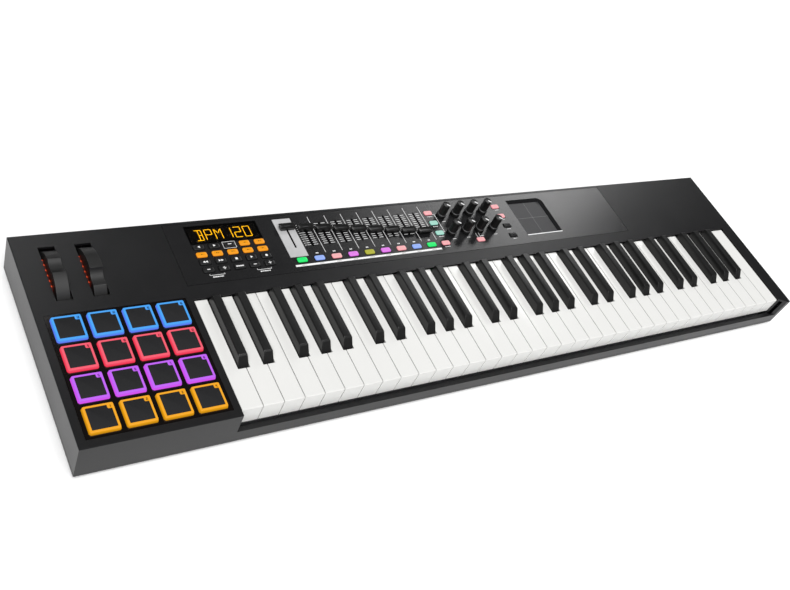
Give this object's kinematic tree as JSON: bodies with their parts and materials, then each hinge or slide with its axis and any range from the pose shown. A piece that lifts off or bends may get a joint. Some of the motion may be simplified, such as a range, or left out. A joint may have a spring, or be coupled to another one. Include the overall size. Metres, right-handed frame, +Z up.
{
  "type": "synthesizer",
  "caption": "Long flat keyboard controller with full-size keys, a block of lit square pads, two thumb wheels, faders, knobs, small buttons, a display and a touch pad.",
  "frame": {"origin": "centre of the footprint, on the floor under the feet", "axes": "+X along the keys to the treble end, +Y to the rear, +Z up"},
  "size_m": [1.028, 0.2554, 0.072],
  "materials": {
    "case_plastic": "satin",
    "base_plastic": "satin",
    "panel_plastic": "satin",
    "bezel_gloss": "gloss",
    "window_gloss": "gloss",
    "display_amber": "lit",
    "silver_plate": "brushed",
    "steel": "satin",
    "board_green": "solder mask",
    "socket_black": "satin",
    "frame_grey": "matte",
    "light_red": "lit",
    "touch_surface": "satin",
    "foot_rubber": "matte",
    "screw_steel": "black oxide",
    "wheel_plastic": "soft touch",
    "cap_black": "satin",
    "knob_black": "soft touch",
    "pad_amber": "lit silicone",
    "pad_purple": "lit silicone",
    "pad_red": "lit silicone",
    "pad_blue": "lit silicone",
    "key_white": "satin gloss",
    "key_black": "satin",
    "button_orange": "lit silicone",
    "button_black": "silicone",
    "button_lit": "lit silicone",
    "button_pink": "lit silicone"
  },
  "bodies": {
    "case": {"top_case": "case_plastic", "bottom_case": "base_plastic", "control_panel": "panel_plastic", "pad_bezel": "bezel_gloss", "display_window": "window_gloss", "display_module": "display_amber", "fader_plate": "silver_plate", "fader_bodies": "steel", "encoder_bodies": "steel", "control_board": "board_green", "main_board": "board_green", "usb_socket": "steel", "pedal_jacks": "socket_black", "key_frame": "frame_grey", "key_contact_board": "board_green", "pad_board": "board_green", "wheel_cradle": "socket_black", "wheel_lights": "light_red", "touch_pad": "touch_surface", "feet": "foot_rubber", "case_screws": "screw_steel"},
    "keys_c": {"keys_c": "key_white"},
    "keys_d": {"keys_d": "key_white"},
    "keys_e": {"keys_e": "key_white"},
    "keys_f": {"keys_f": "key_white"},
    "keys_g": {"keys_g": "key_white"},
    "keys_a": {"keys_a": "key_white"},
    "keys_b": {"keys_b": "key_white"},
    "keys_c_sharp": {"keys_c_sharp": "key_black"},
    "keys_d_sharp": {"keys_d_sharp": "key_black"},
    "keys_f_sharp": {"keys_f_sharp": "key_black"},
    "keys_g_sharp": {"keys_g_sharp": "key_black"},
    "keys_a_sharp": {"keys_a_sharp": "key_black"},
    "pads_row_1": {"pads_row_1": "pad_amber"},
    "pads_row_2": {"pads_row_2": "pad_purple"},
    "pads_row_3": {"pads_row_3": "pad_red"},
    "pads_row_4": {"pads_row_4": "pad_blue"},
    "buttons_orange": {"buttons_orange": "button_orange"},
    "buttons_black": {"buttons_black": "button_black"},
    "buttons_fader": {"buttons_fader": "button_lit"},
    "buttons_side": {"buttons_side": "button_pink"},
    "pitch_wheel": {"pitch_wheel": "wheel_plastic"},
    "mod_wheel": {"mod_wheel": "wheel_plastic"},
    "fader_cap_1": {"fader_cap_1": "cap_black"},
    "fader_cap_2": {"fader_cap_2": "cap_black"},
    "fader_cap_3": {"fader_cap_3": "cap_black"},
    "fader_cap_4": {"fader_cap_4": "cap_black"},
    "fader_cap_5": {"fader_cap_5": "cap_black"},
    "fader_cap_6": {"fader_cap_6": "cap_black"},
    "fader_cap_7": {"fader_cap_7": "cap_black"},
    "fader_cap_8": {"fader_cap_8": "cap_black"},
    "fader_cap_9": {"fader_cap_9": "cap_black"},
    "knob_1": {"knob_1": "knob_black"},
    "knob_2": {"knob_2": "knob_black"},
    "knob_3": {"knob_3": "knob_black"},
    "knob_4": {"knob_4": "knob_black"},
    "knob_5": {"knob_5": "knob_black"},
    "knob_6": {"knob_6": "knob_black"},
    "knob_7": {"knob_7": "knob_black"},
    "knob_8": {"knob_8": "knob_black"}
  },
  "joints": [
    {"name": "press_keys_c", "type": "hinge", "parent": "case", "child": "keys_c", "pos_m": [0, 0.07975, 0.0256], "axis": [1, 0, 0], "range_deg": [0, 2.8], "stiffness_Nm_per_rad": 3, "springref_deg": -11.46},
    {"name": "press_keys_d", "type": "hinge", "parent": "case", "child": "keys_d", "pos_m": [0, 0.07975, 0.0256], "axis": [1, 0, 0], "range_deg": [0, 2.8], "stiffness_Nm_per_rad": 3, "springref_deg": -11.46},
    {"name": "press_keys_e", "type": "hinge", "parent": "case", "child": "keys_e", "pos_m": [0, 0.07975, 0.0256], "axis": [1, 0, 0], "range_deg": [0, 2.8], "stiffness_Nm_per_rad": 3, "springref_deg": -11.46},
    {"name": "press_keys_f", "type": "hinge", "parent": "case", "child": "keys_f", "pos_m": [0, 0.07975, 0.0256], "axis": [1, 0, 0], "range_deg": [0, 2.8], "stiffness_Nm_per_rad": 3, "springref_deg": -11.46},
    {"name": "press_keys_g", "type": "hinge", "parent": "case", "child": "keys_g", "pos_m": [0, 0.07975, 0.0256], "axis": [1, 0, 0], "range_deg": [0, 2.8], "stiffness_Nm_per_rad": 3, "springref_deg": -11.46},
    {"name": "press_keys_a", "type": "hinge", "parent": "case", "child": "keys_a", "pos_m": [0, 0.07975, 0.0256], "axis": [1, 0, 0], "range_deg": [0, 2.8], "stiffness_Nm_per_rad": 3, "springref_deg": -11.46},
    {"name": "press_keys_b", "type": "hinge", "parent": "case", "child": "keys_b", "pos_m": [0, 0.07975, 0.0256], "axis": [1, 0, 0], "range_deg": [0, 2.8], "stiffness_Nm_per_rad": 3, "springref_deg": -11.46},
    {"name": "press_keys_c_sharp", "type": "hinge", "parent": "case", "child": "keys_c_sharp", "pos_m": [0, 0.07975, 0.0256], "axis": [1, 0, 0], "range_deg": [0, 2.8], "stiffness_Nm_per_rad": 3, "springref_deg": -11.46},
    {"name": "press_keys_d_sharp", "type": "hinge", "parent": "case", "child": "keys_d_sharp", "pos_m": [0, 0.07975, 0.0256], "axis": [1, 0, 0], "range_deg": [0, 2.8], "stiffness_Nm_per_rad": 3, "springref_deg": -11.46},
    {"name": "press_keys_f_sharp", "type": "hinge", "parent": "case", "child": "keys_f_sharp", "pos_m": [0, 0.07975, 0.0256], "axis": [1, 0, 0], "range_deg": [0, 2.8], "stiffness_Nm_per_rad": 3, "springref_deg": -11.46},
    {"name": "press_keys_g_sharp", "type": "hinge", "parent": "case", "child": "keys_g_sharp", "pos_m": [0, 0.07975, 0.0256], "axis": [1, 0, 0], "range_deg": [0, 2.8], "stiffness_Nm_per_rad": 3, "springref_deg": -11.46},
    {"name": "press_keys_a_sharp", "type": "hinge", "parent": "case", "child": "keys_a_sharp", "pos_m": [0, 0.07975, 0.0256], "axis": [1, 0, 0], "range_deg": [0, 2.8], "stiffness_Nm_per_rad": 3, "springref_deg": -11.46},
    {"name": "press_pads_row_1", "type": "slide", "parent": "case", "child": "pads_row_1", "axis": [0, 0, -1], "range_m": [0, 0.0008], "stiffness_N_per_m": 2500, "springref_m": -0.0006},
    {"name": "press_pads_row_2", "type": "slide", "parent": "case", "child": "pads_row_2", "axis": [0, 0, -1], "range_m": [0, 0.0008], "stiffness_N_per_m": 2500, "springref_m": -0.0006},
    {"name": "press_pads_row_3", "type": "slide", "parent": "case", "child": "pads_row_3", "axis": [0, 0, -1], "range_m": [0, 0.0008], "stiffness_N_per_m": 2500, "springref_m": -0.0006},
    {"name": "press_pads_row_4", "type": "slide", "parent": "case", "child": "pads_row_4", "axis": [0, 0, -1], "range_m": [0, 0.0008], "stiffness_N_per_m": 2500, "springref_m": -0.0006},
    {"name": "press_buttons_orange", "type": "slide", "parent": "case", "child": "buttons_orange", "axis": [0, 0, -1], "range_m": [0, 0.0008], "stiffness_N_per_m": 1200, "springref_m": -0.0005},
    {"name": "press_buttons_black", "type": "slide", "parent": "case", "child": "buttons_black", "axis": [0, 0, -1], "range_m": [0, 0.0008], "stiffness_N_per_m": 1500, "springref_m": -0.0005},
    {"name": "press_buttons_fader", "type": "slide", "parent": "case", "child": "buttons_fader", "axis": [0, 0, -1], "range_m": [0, 0.0008], "stiffness_N_per_m": 1400, "springref_m": -0.0005},
    {"name": "press_buttons_side", "type": "slide", "parent": "case", "child": "buttons_side", "axis": [0, 0, -1], "range_m": [0, 0.0008], "stiffness_N_per_m": 1400, "springref_m": -0.0005},
    {"name": "turn_pitch_wheel", "type": "hinge", "parent": "case", "child": "pitch_wheel", "pos_m": [-0.4803, 0.07445, 0.024], "axis": [1, 0, 0], "range_deg": [-22, 22], "stiffness_Nm_per_rad": 0.15},
    {"name": "turn_mod_wheel", "type": "hinge", "parent": "case", "child": "mod_wheel", "pos_m": [-0.4437, 0.07445, 0.024], "axis": [-1, 0, 0], "range_deg": [0, 50]},
    {"name": "slide_fader_1", "type": "slide", "parent": "case", "child": "fader_cap_1", "axis": [0, 1, 0], "range_m": [-0.0275, 0.0035]},
    {"name": "slide_fader_2", "type": "slide", "parent": "case", "child": "fader_cap_2", "axis": [0, 1, 0], "range_m": [-0.0241, 0.0069]},
    {"name": "slide_fader_3", "type": "slide", "parent": "case", "child": "fader_cap_3", "axis": [0, 1, 0], "range_m": [-0.0207, 0.0103]},
    {"name": "slide_fader_4", "type": "slide", "parent": "case", "child": "fader_cap_4", "axis": [0, 1, 0], "range_m": [-0.0173, 0.0137]},
    {"name": "slide_fader_5", "type": "slide", "parent": "case", "child": "fader_cap_5", "axis": [0, 1, 0], "range_m": [-0.0139, 0.0171]},
    {"name": "slide_fader_6", "type": "slide", "parent": "case", "child": "fader_cap_6", "axis": [0, 1, 0], "range_m": [-0.0105, 0.0205]},
    {"name": "slide_fader_7", "type": "slide", "parent": "case", "child": "fader_cap_7", "axis": [0, 1, 0], "range_m": [-0.0071, 0.0239]},
    {"name": "slide_fader_8", "type": "slide", "parent": "case", "child": "fader_cap_8", "axis": [0, 1, 0], "range_m": [-0.0037, 0.0273]},
    {"name": "slide_fader_9", "type": "slide", "parent": "case", "child": "fader_cap_9", "axis": [0, 1, 0], "range_m": [-0.0003, 0.0307]},
    {"name": "turn_knob_1", "type": "hinge", "parent": "case", "child": "knob_1", "pos_m": [0.0085, 0.09925, 0.051], "axis": [0, 0, -1], "continuous": true},
    {"name": "turn_knob_2", "type": "hinge", "parent": "case", "child": "knob_2", "pos_m": [0.0308, 0.09925, 0.051], "axis": [0, 0, -1], "continuous": true},
    {"name": "turn_knob_3", "type": "hinge", "parent": "case", "child": "knob_3", "pos_m": [0.0531, 0.09925, 0.051], "axis": [0, 0, -1], "continuous": true},
    {"name": "turn_knob_4", "type": "hinge", "parent": "case", "child": "knob_4", "pos_m": [0.0754, 0.09925, 0.051], "axis": [0, 0, -1], "continuous": true},
    {"name": "turn_knob_5", "type": "hinge", "parent": "case", "child": "knob_5", "pos_m": [0.0085, 0.06945, 0.051], "axis": [0, 0, -1], "continuous": true},
    {"name": "turn_knob_6", "type": "hinge", "parent": "case", "child": "knob_6", "pos_m": [0.0308, 0.06945, 0.051], "axis": [0, 0, -1], "continuous": true},
    {"name": "turn_knob_7", "type": "hinge", "parent": "case", "child": "knob_7", "pos_m": [0.0531, 0.06945, 0.051], "axis": [0, 0, -1], "continuous": true},
    {"name": "turn_knob_8", "type": "hinge", "parent": "case", "child": "knob_8", "pos_m": [0.0754, 0.06945, 0.051], "axis": [0, 0, -1], "continuous": true}
  ]
}
